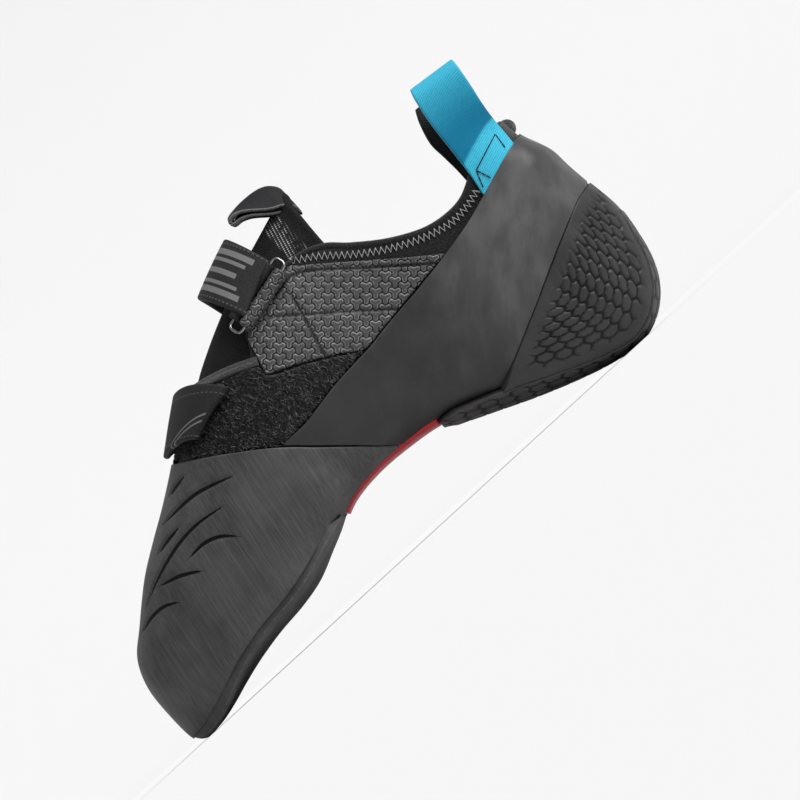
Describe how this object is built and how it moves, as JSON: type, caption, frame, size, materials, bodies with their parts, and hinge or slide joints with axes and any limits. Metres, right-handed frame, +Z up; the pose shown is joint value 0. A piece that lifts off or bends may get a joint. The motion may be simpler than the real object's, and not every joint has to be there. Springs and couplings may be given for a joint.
{
  "type": "climbing shoe",
  "caption": "Downturned left climbing shoe with a hollow sock upper, rubber toe cap and rand, moulded heel, half sole, strap with a wire ring, and webbing pull loops at the collar.",
  "frame": {"origin": "on the floor, under the middle of the shoe's bounding box", "axes": "+Z up, -X towards the toe, -Y towards the outer side of this left shoe"},
  "size_m": [0.2502, 0.09, 0.1374],
  "materials": {
    "knit": "matte dark stretch knit",
    "footbed": "matte footbed fabric",
    "sole_rubber": "smooth matte sole rubber",
    "red_plate": "satin red moulding",
    "toe_rubber": "buffed matte rubber",
    "rand_rubber": "matte rubber with a soft sheen",
    "heel_rubber": "matte rubber with a hexagon relief",
    "keel_rubber": "matte rubber with a hexagon relief",
    "knob_mesh": "grey knobbed mesh",
    "loop_pile": "black loop pile",
    "tongue_fabric": "smooth dark padded fabric",
    "tab_ribbon": "dark woven ribbon",
    "strap_fabric": "dark coated strap",
    "ring_steel": "polished wire",
    "blue_webbing": "blue ribbed webbing",
    "black_webbing": "black ribbed webbing"
  },
  "bodies": {
    "root": {"upper": "knit", "insole": "footbed", "outsole_forefoot": "sole_rubber", "arch_plate": "red_plate", "toe_cap": "toe_rubber", "slingshot_rand": "rand_rubber", "heel_cup": "heel_rubber", "heel_keel": "keel_rubber", "quarter_lateral": "knob_mesh", "quarter_medial": "knob_mesh", "pile_panel": "loop_pile", "tongue": "tongue_fabric", "tongue_tab": "tab_ribbon", "strap_lower": "strap_fabric", "strap_upper": "strap_fabric", "strap_ring": "ring_steel", "ring_sleeve": "knob_mesh", "pull_loop_lateral": "blue_webbing", "pull_loop_medial": "black_webbing"}
  },
  "joints": []
}
